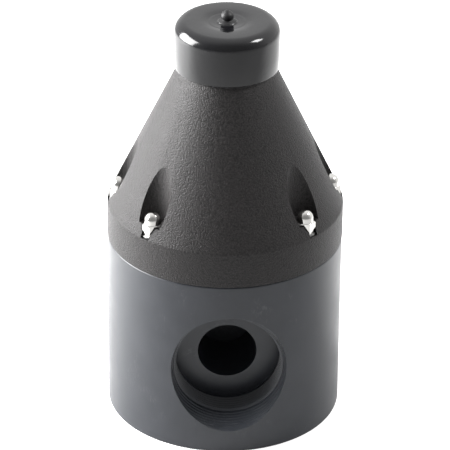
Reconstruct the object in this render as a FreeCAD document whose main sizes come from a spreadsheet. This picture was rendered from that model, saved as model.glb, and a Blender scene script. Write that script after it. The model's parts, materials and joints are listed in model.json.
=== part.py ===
"""Diaphragm relief valve with in-line threaded ports and a spring bonnet, in millimetres.

The origin is at the middle of the base. Z points up along the stem, the outlet port
faces -Y and the inlet port faces +Y.
"""
import FreeCAD, Part
import math
import os
import re

import Sketcher

# Driving sizes: the name of the cell, its number and what it measures
SIZES = [
    ("port_height", 48.0, "base of the body to the middle of the ports"),
    ("port_to_top", 53.6, "middle of the ports to the top face of the body"),
    ("body_chamfer", 0.8, "chamfer on the two rims of the body"),
    ("witness_rise", 14.2, "middle of the ports to the fine turned line round the body"),
    ("witness_depth", 0.3, "depth of the fine turned line"),
    ("port_face_depth", 8.3, "side of the body to the flat spot face of a port"),
    ("port_face_width", 5.42, "width of the spot face round the thread"),
    ("thread_radius", 28.18, "tapped wall of a port, nominal two inch pipe thread"),
    ("thread_length", 18.2, "spot face to the shoulder at the end of the thread"),
    ("passage_radius", 15.875, "drilled passages and the bore of the seat"),
    ("passage_wall", 4.625, "seat bore to the blind end of the inlet passage"),
    ("riser_radius", 5.5, "holes that lead from the inlet up into the chamber"),
    ("riser_wall", 2.0, "wall between the risers and the seat pocket"),
    ("riser_angle", 28.0, "angle between neighbouring risers"),
    ("seat_shelf", 0.625, "passage wall to the floor of the seat pocket"),
    ("chamber_wall", 4.0, "wall between a port shoulder and the inlet chamber"),
    ("chamber_step", 3.82, "top of a port to the floor of the wide upper chamber"),
    ("seat_wall", 3.625, "thickness of the seat ring beyond its bore"),
    ("seat_depth", 5.5, "depth of the pocket that the seat ring is pressed in"),
    ("seat_lip_height", 4.0, "height of the seat lip above the chamber floor"),
    ("seat_lip_width", 2.125, "width of the seat lip at its root"),
    ("seat_lip_chamfer", 0.5, "chamfers of the seat lip"),
    ("seat_fit", 0.05, "radial gap between the seat ring and its pocket"),
    ("oring_groove_depth", 2.15, "depth of the groove round the seat ring"),
    ("oring_groove_play", 0.25, "groove round the seat ring wider than it is deep"),
    ("oring_gap", 0.05, "gap between the seat O-ring and the walls of its groove"),
    ("stem_radius", 6.0, "threaded ends of the stem"),
    ("stem_collar_width", 4.0, "collar of the stem below the diaphragm, beyond the stem"),
    ("stem_end", 2.1, "stem end above its nut"),
    ("stem_lift", 6.0, "lift of the stem and poppet"),
    ("thread_gap", 0.05, "radial gap in every threaded or sliding fit"),
    ("poppet_thickness", 8.0, "thickness of the poppet disc"),
    ("poppet_overlap", 6.125, "poppet rim beyond the seat bore"),
    ("poppet_skirt", 2.0, "width of the lip that holds the seal"),
    ("poppet_skirt_depth", 1.8, "depth of the lip that holds the seal"),
    ("poppet_floor", 2.0, "poppet web under the end of the stem"),
    ("seal_thickness", 3.0, "thickness of the soft seat seal"),
    ("seal_gap", 0.2, "gap between the seat seal and the metal round it"),
    ("retainer_gap", 1.875, "gap between the flange of the seal retainer and the seat bore"),
    ("seal_clamp", 2.0, "width of seal held by the flange of its retainer"),
    ("seal_flange", 2.5, "thickness of the flange of the seal retainer"),
    ("wing_length", 11.5, "height of the guide wings below the flange"),
    ("wing_thickness", 2.5, "thickness of a guide wing"),
    ("wing_screw_gap", 0.88, "gap between the guide wings and the head of the screw"),
    ("wing_gap", 0.175, "gap between the guide wings and the seat bore"),
    ("retainer_screw_radius", 2.5, "shank of the screw that holds the seal retainer"),
    ("retainer_screw_flats", 8.0, "across the flats of that screw"),
    ("retainer_screw_head", 4.0, "height of the head of that screw"),
    ("retainer_screw_grip", 11.0, "length of that screw inside the stem"),
    ("diaphragm_thickness", 2.0, "thickness of the diaphragm rim and hub"),
    ("diaphragm_drop", 3.5, "top face of the body down to the top of the hub"),
    ("roll_thickness", 1.4, "thickness of the rolling wall of the diaphragm"),
    ("roll_gap", 6.6, "piston to the bore of the bonnet, where the wall rolls"),
    ("roll_clearance", 0.35, "gap between the rolling wall and its neighbours"),
    ("roll_height", 2.4, "top face of the body to the start of the roll"),
    ("clamp_width", 7.8, "bore of the bonnet to the rim of the diaphragm recess"),
    ("clamp_gap", 0.3, "gap round the rim of the diaphragm"),
    ("retainer_setback", 2.6, "rim of the piston to the rim of the plate under the diaphragm"),
    ("retainer_thickness", 3.5, "thickness of the plate under the diaphragm"),
    ("piston_radius", 37.6, "radius of the piston"),
    ("piston_height", 13.9, "height of the piston with its skirt"),
    ("piston_floor", 7.9, "thickness of the floor of the piston"),
    ("piston_skirt", 4.0, "thickness of the skirt of the piston"),
    ("stop_gap", 0.5, "piston at full lift to the stop ledge of the bonnet"),
    ("stem_washer_margin", 1.0, "washer beyond the corners of the stem nut"),
    ("stem_washer_thickness", 1.4, "thickness of that washer"),
    ("stem_nut_flats", 19.05, "across the flats of the stem nut"),
    ("stem_nut_height", 8.5, "height of the stem nut"),
    ("spring_washer_gap", 1.0, "gap between the washers of the stem nut and the spring"),
    ("spring_washer_rim", 2.0, "washer under the spring beyond the outside of the spring"),
    ("spring_washer_thickness", 1.5, "thickness of the washer under the spring"),
    ("spring_wire", 5.5, "diameter of the spring wire"),
    ("spring_washer_inset", 1.5, "bore of that washer to the inside of the spring"),
    ("spring_length", 60.5, "length of the spring as it is set"),
    ("spring_turns", 6.5, "turns of the spring"),
    ("button_gap", 0.7, "gap between the button's pilot and the spring"),
    ("button_pilot", 6.0, "length of the pilot inside the spring"),
    ("button_flange", 6.0, "thickness of the flange of the spring button"),
    ("button_margin", 1.0, "flange of the button beyond the spring"),
    ("button_boss_wall", 5.3, "wall of the boss that takes the end of the screw"),
    ("button_boss_height", 6.0, "height of that boss"),
    ("button_floor", 3.0, "flange face to the socket floor in the boss"),
    ("button_socket_gap", 0.35, "radial gap round the end of the screw"),
    ("screw_radius", 6.35, "adjusting screw, nominal half inch"),
    ("screw_point_step", 1.55, "step down to the plain point of the adjusting screw"),
    ("screw_point_length", 3.0, "length of that point"),
    ("screw_flats", 19.05, "across the flats of the adjusting screw"),
    ("screw_head_height", 8.7, "height of the head of the adjusting screw"),
    ("screw_travel", 9.5, "travel of the adjusting screw"),
    ("screw_head_gap", 0.5, "head at full travel to the lock nut"),
    ("lock_nut_flats", 19.05, "across the flats of the lock nut"),
    ("lock_nut_height", 7.9, "height of the lock nut"),
    ("hex_chamfer", 0.8, "chamfer on the corners of the large hexagons"),
    ("bushing_wall", 3.6, "wall of the threaded bushing in the web of the bonnet"),
    ("bushing_rim", 3.0, "width of the flange of the bushing under the web"),
    ("bushing_flange", 2.0, "thickness of that flange"),
    ("button_headroom", 1.0, "spring button to the bushing above it"),
    ("flange_overhang", 0.2, "bolting flange of the bonnet beyond the body"),
    ("flange_thickness", 19.9, "bolting flange of the bonnet"),
    ("flange_chamfer", 0.6, "chamfer at the foot of the bonnet"),
    ("cone_wall", 7.75, "wall of the cone, measured across"),
    ("stop_width", 1.1, "width of the ledge that stops the piston"),
    ("neck_radius", 26.2, "neck of the bonnet"),
    ("neck_wall", 5.7, "wall of the neck round the lock nut"),
    ("collar_drop", 5.5, "foot of the neck down to the floor of the recess"),
    ("collar_height", 17.0, "floor of the recess to the rim of the neck"),
    ("web_thickness", 12.0, "web that carries the bushing"),
    ("bolt_land", 5.15, "rim of the diaphragm recess to the circle of the studs"),
    ("bolt_edge", 6.35, "circle of the studs to the side of the body"),
    ("bolt_step", 45.0, "angle between neighbouring studs on one side"),
    ("stud_radius", 2.4, "studs, nominal three sixteenths of an inch"),
    ("stud_depth", 17.6, "length of a stud in the body"),
    ("stud_hole_gap", 1.0, "stud end to the floor of its hole"),
    ("stud_hole_clearance", 0.35, "radial gap round a stud in the flange"),
    ("slot_gap", 0.25, "gap between a washer and the slot that holds the nut"),
    ("slot_depth", 6.7, "depth of that slot below the socket pocket"),
    ("pocket_step", 3.1, "slot to the foot of the tapered pocket for a socket wrench"),
    ("pocket_draft", 3.6, "draft angle of that pocket"),
    ("washer_margin", 0.05, "washers beyond the corners of the cap nuts"),
    ("washer_thickness", 1.0, "washers under the cap nuts"),
    ("cap_nut_flats", 9.525, "across the flats of a cap nut"),
    ("cap_nut_hexagon", 6.4, "height of the hexagon of a cap nut"),
    ("cap_nut_chamfer", 0.5, "chamfers of a cap nut"),
    ("cap_nut_neck", 2.0, "hexagon of a cap nut to the foot of its round dome"),
    ("dome_step", 0.4625, "flats of a cap nut to the side of its dome"),
    ("nut_end_wall", 3.2, "end of the blind thread in a cap nut to its tip"),
    ("stud_end_gap", 0.5, "stud end to the floor of the blind thread"),
    ("cap_fit", 0.1, "gap between the dust cap and the neck"),
    ("cap_wall", 1.8, "wall of the dust cap"),
    ("cap_top_wall", 2.0, "top wall of the dust cap"),
    ("cap_foot_gap", 0.8, "foot of the neck to the rim of the dust cap"),
    ("cap_headroom", 2.2, "screw head to the inside of the dust cap"),
    ("cap_edge", 6.35, "rounded top edge of the dust cap"),
    ("cap_dish", 1.7, "depth of the dish in the top of the dust cap"),
    ("nib_base_radius", 4.9, "disc at the foot of the pull nib"),
    ("nib_base_height", 1.0, "thickness of that disc"),
    ("nib_neck_radius", 2.5, "neck of the pull nib"),
    ("nib_bead_radius", 3.2, "bead of the pull nib"),
    ("nib_height", 7.6, "pull nib above the dish"),
]
NAMES = {name for name, number, meaning in SIZES}
WORD = re.compile(r"[a-z_]+")

doc = FreeCAD.newDocument("relief_valve")
sheet = doc.addObject("Spreadsheet::Sheet", "Sizes")
for row, (name, number, meaning) in enumerate(SIZES, start=1):
    sheet.set(f"A{row}", meaning)
    sheet.set(f"B{row}", str(number))
    sheet.setAlias(f"B{row}", name)
doc.recompute()

finished = []


def formula(text):
    """Put the sheet's name before every size in a formula."""
    return WORD.sub(lambda word: "Sizes." + word[0] if word[0] in NAMES else word[0], text)


def number_of(text):
    """The number that a formula gives now."""
    return float(sheet.evalExpression(formula(text)))


def bind(thing, setting, text):
    """Tie one setting of an object to a formula."""
    thing.setExpression(setting, formula(text))


def new_sketch(body, name, plane, offset="0", turn="0"):
    """A sketch on one of the body's own planes, lifted by offset and turned about its normal."""
    sketch = body.newObject("Sketcher::SketchObject", name)
    base = [feature for feature in body.Origin.OriginFeatures if feature.Role == plane][0]
    sketch.AttachmentSupport = [(base, "")]
    sketch.MapMode = "FlatFace"
    sketch.AttachmentOffset = FreeCAD.Placement(
        FreeCAD.Vector(0, 0, number_of(offset)),
        FreeCAD.Rotation(FreeCAD.Vector(0, 0, 1), number_of(turn)))
    if offset != "0":
        bind(sketch, "AttachmentOffset.Base.z", offset)
    return sketch


def fix_point(sketch, edge, end, across=None, up=None):
    """Hold a point of the sketch at formulas measured from its origin."""
    for kind, text, axis in (("DistanceX", across, -2), ("DistanceY", up, -1)):
        if text is None:
            continue
        if text == "0":
            sketch.addConstraint(Sketcher.Constraint("PointOnObject", edge, end, axis))
        else:
            rule = Sketcher.Constraint(kind, -1, 1, edge, end, number_of(text))
            index = sketch.addConstraint(rule)
            bind(sketch, f"Constraints[{index}]", text)


def draw_outline(sketch, points):
    """Draw a closed outline through (across, up) formulas.

    A point may go on with a turn and the centre of an arc to the next point: +1 is an
    arc that runs anticlockwise, -1 one that runs clockwise.
    """
    spots = [FreeCAD.Vector(number_of(point[0]), number_of(point[1]), 0) for point in points]
    edges = []
    for index, point in enumerate(points):
        start = spots[index]
        end = spots[(index + 1) % len(spots)]
        if len(point) == 2:
            edges.append((sketch.addGeometry(Part.LineSegment(start, end), False), 1, 2))
            continue
        turn = point[2]
        centre = FreeCAD.Vector(number_of(point[3]), number_of(point[4]), 0)
        first, last = (start, end) if turn > 0 else (end, start)
        circle = Part.Circle(centre, FreeCAD.Vector(0, 0, 1), (start - centre).Length)
        arc = Part.ArcOfCircle(
            circle,
            math.atan2(first.y - centre.y, first.x - centre.x),
            math.atan2(last.y - centre.y, last.x - centre.x))
        edges.append((sketch.addGeometry(arc, False),) + ((1, 2) if turn > 0 else (2, 1)))
    for index, (edge, start_end, finish_end) in enumerate(edges):
        after, after_start, after_finish = edges[(index + 1) % len(edges)]
        sketch.addConstraint(
            Sketcher.Constraint("Coincident", edge, finish_end, after, after_start))
    for index, (edge, start_end, finish_end) in enumerate(edges):
        point = points[index]
        fix_point(sketch, edge, start_end, point[0], point[1])
        if len(point) > 2:
            chord = spots[(index + 1) % len(spots)] - spots[index]
            if abs(chord.y) > abs(chord.x) * 1.5:
                fix_point(sketch, edge, 3, across=point[3])
            else:
                fix_point(sketch, edge, 3, up=point[4])


def turned(label, outline):
    """A body turned about Z from half of its section."""
    body = doc.addObject("PartDesign::Body", label)
    sketch = new_sketch(body, label + "_section", "XZ_Plane")
    draw_outline(sketch, outline)
    solid = body.newObject("PartDesign::Revolution", label + "_turned")
    solid.Profile = sketch
    solid.ReferenceAxis = (sketch, ["V_Axis"])
    solid.Angle = 360
    sketch.Visibility = False
    doc.recompute()
    return body


def cut(body, name, sketch, depth, away=True, draft=None):
    """Pocket a sketch, away from its plane's normal or along it, and see that it cuts."""
    before = body.Shape.Volume
    pocket = body.newObject("PartDesign::Pocket", name)
    pocket.Profile = sketch
    bind(pocket, "Length", depth)
    pocket.Reversed = not away
    if draft is not None:
        bind(pocket, "TaperAngle", draft)
    doc.recompute()
    if not body.Shape.Volume < before - 0.01:
        raise RuntimeError(name + " cuts nothing")
    return pocket


def draw_circle(sketch, across, up, radius):
    """A circle whose centre and radius are formulas."""
    centre = FreeCAD.Vector(number_of(across), number_of(up), 0)
    edge = sketch.addGeometry(
        Part.Circle(centre, FreeCAD.Vector(0, 0, 1), number_of(radius)), False)
    fix_point(sketch, edge, 3, across, up)
    index = sketch.addConstraint(Sketcher.Constraint("Radius", edge, number_of(radius)))
    bind(sketch, f"Constraints[{index}]", radius)


def hexagonal(label, outline, flats):
    """A turned blank whose outside is milled to a hexagon."""
    blank = turned(label + "_blank", outline)
    bar = doc.addObject("Part::Prism", label + "_bar")
    bar.Polygon = 6
    bind(bar, "Circumradius", f"{flats} / sqrt(3)")
    bar.Placement.Base.z = blank.Shape.BoundBox.ZMin
    bar.Height = blank.Shape.BoundBox.ZLength
    milled = doc.addObject("Part::Common", label)
    milled.Base = bar
    milled.Tool = blank
    milled.Refine = True
    doc.recompute()
    return milled


def finish(part, label):
    """Name a sub-part and keep it for the export."""
    part.Label = label
    finished.append(part)
    return part


def set_on_bolt_circle(part, angle):
    """Put a part on the circle of the studs."""
    bind(part, "Placement.Base.x", f"{bolt_circle} * cos({angle})")
    bind(part, "Placement.Base.y", f"{bolt_circle} * sin({angle})")


# Heights that follow from the driving sizes
body_height = "(port_height + port_to_top)"
chamber_floor = "(port_height + passage_radius + seat_shelf + seat_depth)"
upper_floor = "(port_height + thread_radius + chamber_step)"
witness_height = "(port_height + witness_rise)"
seat_top = f"({chamber_floor} + seat_lip_height)"
seal_top = f"({seat_top} + seal_thickness)"
poppet_top = f"({seal_top} + poppet_thickness)"
stem_low = f"({seal_top} + poppet_floor)"
hub_top = f"({body_height} - diaphragm_drop)"
hub_low = f"({hub_top} - diaphragm_thickness)"
retainer_low = f"({hub_low} - retainer_thickness)"
piston_top = f"({hub_top} + piston_height)"
spring_seat = f"({hub_top} + piston_floor)"
spring_low = f"({spring_seat} + spring_washer_thickness)"
button_low = f"({spring_low} + spring_length)"
flange_top = f"({body_height} + flange_thickness)"
button_top = f"({button_low} + button_flange + button_boss_height)"
web_low = f"({button_top} + button_headroom + bushing_flange)"
web_top = f"({web_low} + web_thickness)"
neck_base = f"({web_top} + collar_drop)"
head_low = f"({web_top} + lock_nut_height + screw_travel + screw_head_gap)"
head_top = f"({head_low} + screw_head_height)"
nut_low = f"({flange_top} + washer_thickness)"
BOLT_ANGLES = ["-bolt_step", "0", "bolt_step", "180 - bolt_step", "180", "180 + bolt_step"]

# Radii that follow from the driving sizes
bonnet_bore = "(piston_radius + roll_gap)"
recess_radius = f"({bonnet_bore} + clamp_width)"
bolt_circle = f"({recess_radius} + bolt_land)"
body_radius = f"({bolt_circle} + bolt_edge)"
flange_radius = f"({body_radius} + flange_overhang)"
port_face = f"({body_radius} - port_face_depth)"
port_shoulder = f"({port_face} - thread_length)"
roll_outside = f"({bonnet_bore} - roll_clearance)"
roll_inside = "(piston_radius + roll_clearance)"
chamber_radius = f"({port_shoulder} - chamber_wall)"
upper_radius = f"({roll_outside} - roll_thickness)"
spring_chamber = "(piston_radius - stop_width)"
seat_pocket = "(passage_radius + seat_wall)"
stem_bore = "(stem_radius + thread_gap)"
screw_bore = "(screw_radius + thread_gap)"
bushing_radius = f"({screw_bore} + bushing_wall)"
stem_washer = "(stem_nut_flats / sqrt(3) + stem_washer_margin)"
spring_washer_bore = f"({stem_washer} + spring_washer_gap)"
spring_inside = f"({spring_washer_bore} + spring_washer_inset)"
spring_outside = f"({spring_inside} + 2 * spring_wire)"
spring_middle = f"({spring_inside} + spring_wire / 2)"
collar_radius = "(neck_radius - neck_wall)"
nut_corner = "(cap_nut_flats / sqrt(3))"
washer_radius = f"({nut_corner} + washer_margin)"
slot_half_width = f"({washer_radius} + slot_gap)"
pocket_radius = f"({slot_half_width} + pocket_step)"
cone_slope = f"(({flange_radius} - neck_radius) / ({neck_base} - {flange_top}))"


def make_valve_body():
    """PVC bar, turned and bored from above, with the two ports milled in its sides."""
    body = turned("valve_body", [
        ("0", "0"),
        (f"{body_radius} - body_chamfer", "0"),
        (body_radius, "body_chamfer"),
        (body_radius, f"{witness_height} - witness_depth"),
        (f"{body_radius} - witness_depth", witness_height),
        (body_radius, f"{witness_height} + witness_depth"),
        (body_radius, f"{body_height} - body_chamfer"),
        (f"{body_radius} - body_chamfer", body_height),
        (recess_radius, body_height),
        (recess_radius, f"{body_height} - diaphragm_thickness"),
        (upper_radius, f"{body_height} - diaphragm_thickness"),
        (upper_radius, upper_floor),
        (chamber_radius, upper_floor),
        (chamber_radius, chamber_floor),
        (seat_pocket, chamber_floor),
        (seat_pocket, f"{chamber_floor} - seat_depth"),
        ("passage_radius", f"{chamber_floor} - seat_depth"),
        ("passage_radius", "port_height"),
        ("0", "port_height"),
    ])
    inlet_end = "(passage_radius + passage_wall)"
    for port, side in (("outlet", 1), ("inlet", -1)):
        steps = [
            ("face", "thread_radius + port_face_width", port_face),
            ("thread", "thread_radius", port_shoulder),
            ("passage", "passage_radius", inlet_end if side < 0 else "0"),
        ]
        for step, radius, start in steps:
            name = f"{port}_{step}"
            sign = "-" if side < 0 else ""
            offset = "0" if start == "0" else f"{sign}{start}"
            sketch = new_sketch(body, name + "_circle", "XZ_Plane", offset)
            draw_circle(sketch, "0", "port_height", radius)
            cut(body, name, sketch, body_radius, away=side < 0)
    riser_circle = f"({seat_pocket} + riser_wall + riser_radius)"
    risers = new_sketch(body, "riser_circles", "XY_Plane", "port_height")
    draw_circle(risers, "0", riser_circle, "riser_radius")
    for sign in ("", "-"):
        across = f"{sign}{riser_circle} * sin(riser_angle)"
        draw_circle(risers, across, f"{riser_circle} * cos(riser_angle)", "riser_radius")
    cut(body, "risers", risers, f"{chamber_floor} - port_height", away=False)
    holes = new_sketch(body, "stud_hole_circles", "XY_Plane", body_height)
    for angle in BOLT_ANGLES:
        up = "0" if angle in ("0", "180") else f"{bolt_circle} * sin({angle})"
        across = f"{bolt_circle} * cos({angle})"
        draw_circle(holes, across, up, "stud_radius + thread_gap")
    cut(body, "stud_holes", holes, "stud_depth + stud_hole_gap")
    finish(body, "valve_body")


def make_bonnet():
    """Moulded cone with a bolting flange, a web for the bushing and a neck collar."""
    inner_top = f"neck_radius + ({neck_base} - {web_low}) * {cone_slope} - cone_wall"
    chamber_top = f"{neck_base} - ({spring_chamber} + cone_wall - neck_radius) / {cone_slope}"
    ledge = f"{piston_top} + stem_lift + stop_gap"
    body = turned("bonnet", [
        (bonnet_bore, body_height),
        (f"{flange_radius} - flange_chamfer", body_height),
        (flange_radius, f"{body_height} + flange_chamfer"),
        (flange_radius, flange_top),
        ("neck_radius", neck_base),
        ("neck_radius", f"{web_top} + collar_height"),
        (collar_radius, f"{web_top} + collar_height"),
        (collar_radius, web_top),
        (f"{bushing_radius} + thread_gap", web_top),
        (f"{bushing_radius} + thread_gap", web_low),
        (inner_top, web_low),
        (spring_chamber, chamber_top),
        (spring_chamber, ledge),
        (bonnet_bore, ledge),
    ])
    seed = "-bolt_step"
    hole = new_sketch(body, "stud_clearance_circle", "XY_Plane", flange_top, seed)
    draw_circle(hole, bolt_circle, "0", "stud_radius + stud_hole_clearance")
    hole_cut = cut(body, "stud_clearance", hole, "flange_thickness")
    slot = new_sketch(body, "nut_slot_outline", "XY_Plane", flange_top, seed)
    draw_outline(slot, [
        (bolt_circle, slot_half_width, 1, bolt_circle, "0"),
        (bolt_circle, f"-{slot_half_width}"),
        (f"{flange_radius} + {slot_half_width}", f"-{slot_half_width}"),
        (f"{flange_radius} + {slot_half_width}", slot_half_width),
    ])
    slot_cut = cut(body, "nut_slot", slot, "slot_depth + 1", away=False)
    pocket = new_sketch(
        body, "socket_pocket_circle", "XY_Plane", f"{flange_top} + slot_depth", seed)
    draw_circle(pocket, bolt_circle, "0", pocket_radius)
    cone_height = f"{neck_base} - {flange_top}"
    pocket_cut = cut(body, "socket_pocket", pocket, cone_height, False, "pocket_draft")
    copies = body.newObject("PartDesign::MultiTransform", "nut_places")
    copies.Originals = [hole_cut, slot_cut, pocket_cut]
    axis = [feature for feature in body.Origin.OriginFeatures if feature.Role == "Z_Axis"][0]
    side = body.newObject("PartDesign::PolarPattern", "nut_places_on_one_side")
    side.Axis = (axis, [""])
    bind(side, "Angle", "2 * bolt_step")
    side.Occurrences = 3
    both = body.newObject("PartDesign::PolarPattern", "nut_places_on_both_sides")
    both.Axis = (axis, [""])
    both.Angle = 360
    both.Occurrences = 2
    copies.Transformations = [side, both]
    body.Tip = copies
    doc.recompute()
    finish(body, "bonnet")


def make_fasteners():
    """Six studs in the body, each with its washer and cap nut on the bonnet flange."""
    stud_low = f"({body_height} - stud_depth)"
    thread = "stud_radius + thread_gap"
    dome_radius = "(cap_nut_flats / 2 - dome_step)"
    hexagon_top = f"({nut_low} + cap_nut_hexagon)"
    dome_centre = f"({hexagon_top} + cap_nut_neck)"
    nut_top = f"({dome_centre} + {dome_radius})"
    stud_top = f"({nut_top} - nut_end_wall - stud_end_gap)"
    tip = "0.5"
    for place, angle in enumerate(BOLT_ANGLES, start=1):
        stud = turned(f"stud_{place}", [
            ("0", stud_low),
            (f"stud_radius - {tip}", stud_low),
            ("stud_radius", f"{stud_low} + {tip}"),
            ("stud_radius", f"{stud_top} - {tip}"),
            (f"stud_radius - {tip}", stud_top),
            ("0", stud_top),
        ])
        washer = turned(f"washer_{place}", [
            (thread, flange_top),
            (washer_radius, flange_top),
            (washer_radius, nut_low),
            (thread, nut_low),
        ])
        nut = hexagonal(f"cap_nut_{place}", [
            (thread, nut_low),
            (f"{nut_corner} - cap_nut_chamfer", nut_low),
            (nut_corner, f"{nut_low} + cap_nut_chamfer / 2"),
            (nut_corner, f"{hexagon_top} - cap_nut_chamfer"),
            (dome_radius, hexagon_top),
            (dome_radius, dome_centre, 1, "0", dome_centre),
            ("0", nut_top),
            ("0", f"{nut_top} - nut_end_wall"),
            (thread, f"{nut_top} - nut_end_wall"),
        ], "cap_nut_flats")
        for part, label in ((stud, "stud"), (washer, "washer"), (nut, "cap_nut")):
            set_on_bolt_circle(part, angle)
            finish(part, f"{label}_{place}")


def make_seat():
    """Seat ring pressed in the floor of the chamber, sealed by an O-ring."""
    ring = f"({seat_pocket} - seat_fit)"
    ring_low = f"({chamber_floor} - seat_depth)"
    groove_floor = f"({seat_pocket} - oring_groove_depth)"
    groove_middle = f"({chamber_floor} - seat_depth / 2)"
    half_groove = "(oring_groove_depth + oring_groove_play) / 2"
    lip = "(passage_radius + seat_lip_width)"
    finish(turned("seat_insert", [
        ("passage_radius", ring_low),
        (ring, ring_low),
        (ring, f"{groove_middle} - {half_groove}"),
        (groove_floor, f"{groove_middle} - {half_groove}"),
        (groove_floor, f"{groove_middle} + {half_groove}"),
        (ring, f"{groove_middle} + {half_groove}"),
        (ring, chamber_floor),
        (lip, chamber_floor),
        (lip, f"{seat_top} - seat_lip_chamfer"),
        (f"{lip} - seat_lip_chamfer", seat_top),
        ("passage_radius + seat_lip_chamfer", seat_top),
        ("passage_radius", f"{seat_top} - seat_lip_chamfer"),
    ]), "seat_insert")
    oring = doc.addObject("Part::Torus", "seat_oring")
    bind(oring, "Radius1", f"{seat_pocket} - oring_groove_depth / 2")
    bind(oring, "Radius2", "oring_groove_depth / 2 - oring_gap")
    bind(oring, "Placement.Base.z", groove_middle)
    finish(oring, "seat_oring")


def make_diaphragm():
    """Moulded diaphragm with a clamped rim, a rolling wall and a clamped hub."""
    inner_face = f"({roll_inside} + roll_thickness)"
    outer_face = f"({roll_outside} - roll_thickness)"
    rim_low = f"({body_height} - diaphragm_thickness)"
    roll_start = f"({body_height} + roll_height)"
    centre = f"(({roll_inside} + {roll_outside}) / 2)"
    finish(turned("diaphragm", [
        (stem_bore, hub_low),
        (inner_face, hub_low),
        (inner_face, roll_start, -1, centre, roll_start),
        (outer_face, roll_start),
        (outer_face, rim_low),
        (f"{recess_radius} - clamp_gap", rim_low),
        (f"{recess_radius} - clamp_gap", body_height),
        (roll_outside, body_height),
        (roll_outside, roll_start, 1, centre, roll_start),
        (roll_inside, roll_start),
        (roll_inside, hub_top),
        (stem_bore, hub_top),
    ]), "diaphragm")


def make_poppet_group():
    """Poppet with its soft seal, the retainer with guide wings, and their screw."""
    skirt_inner = "(passage_radius + poppet_overlap - poppet_skirt)"
    poppet_radius = "(passage_radius + poppet_overlap)"
    screw_hole = "(retainer_screw_radius + thread_gap)"
    hub = "(passage_radius - retainer_gap - seal_clamp)"
    head_corner = "(retainer_screw_flats / sqrt(3))"
    flange_low = f"({seat_top} - seal_flange)"
    finish(turned("poppet", [
        (screw_hole, seal_top),
        (skirt_inner, seal_top),
        (skirt_inner, f"{seal_top} - poppet_skirt_depth"),
        (poppet_radius, f"{seal_top} - poppet_skirt_depth"),
        (poppet_radius, f"{poppet_top} - body_chamfer"),
        (f"{poppet_radius} - body_chamfer", poppet_top),
        (stem_bore, poppet_top),
        (stem_bore, stem_low),
        (screw_hole, stem_low),
    ]), "poppet")
    finish(turned("seat_seal", [
        (f"{hub} + seal_gap", seat_top),
        (f"{skirt_inner} - seal_gap", seat_top),
        (f"{skirt_inner} - seal_gap", seal_top),
        (f"{hub} + seal_gap", seal_top),
    ]), "seat_seal")
    retainer = turned("seal_retainer", [
        (screw_hole, flange_low),
        ("passage_radius - retainer_gap", flange_low),
        ("passage_radius - retainer_gap", seat_top),
        (hub, seat_top),
        (hub, seal_top),
        (screw_hole, seal_top),
    ])
    outline = new_sketch(retainer, "guide_wing_outline", "XY_Plane", flange_low)
    draw_outline(outline, [
        (f"{head_corner} + wing_screw_gap", "-wing_thickness / 2"),
        ("passage_radius - wing_gap", "-wing_thickness / 2"),
        ("passage_radius - wing_gap", "wing_thickness / 2"),
        (f"{head_corner} + wing_screw_gap", "wing_thickness / 2"),
    ])
    wing = retainer.newObject("PartDesign::Pad", "guide_wing")
    wing.Profile = outline
    wing.Reversed = True
    bind(wing, "Length", "wing_length")
    doc.recompute()
    wings = retainer.newObject("PartDesign::PolarPattern", "guide_wings")
    wings.Originals = [wing]
    axes = retainer.Origin.OriginFeatures
    wings.Axis = ([feature for feature in axes if feature.Role == "Z_Axis"][0], [""])
    wings.Angle = 360
    wings.Occurrences = 4
    retainer.Tip = wings
    doc.recompute()
    finish(retainer, "seal_retainer")
    finish(hexagonal("retainer_screw", [
        ("0", f"{flange_low} - retainer_screw_head"),
        (f"{head_corner} - cap_nut_chamfer", f"{flange_low} - retainer_screw_head"),
        (head_corner, f"{flange_low} - retainer_screw_head + cap_nut_chamfer"),
        (head_corner, flange_low),
        ("retainer_screw_radius", flange_low),
        ("retainer_screw_radius", f"{stem_low} + retainer_screw_grip"),
        ("0", f"{stem_low} + retainer_screw_grip"),
    ], "retainer_screw_flats"), "retainer_screw")


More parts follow.
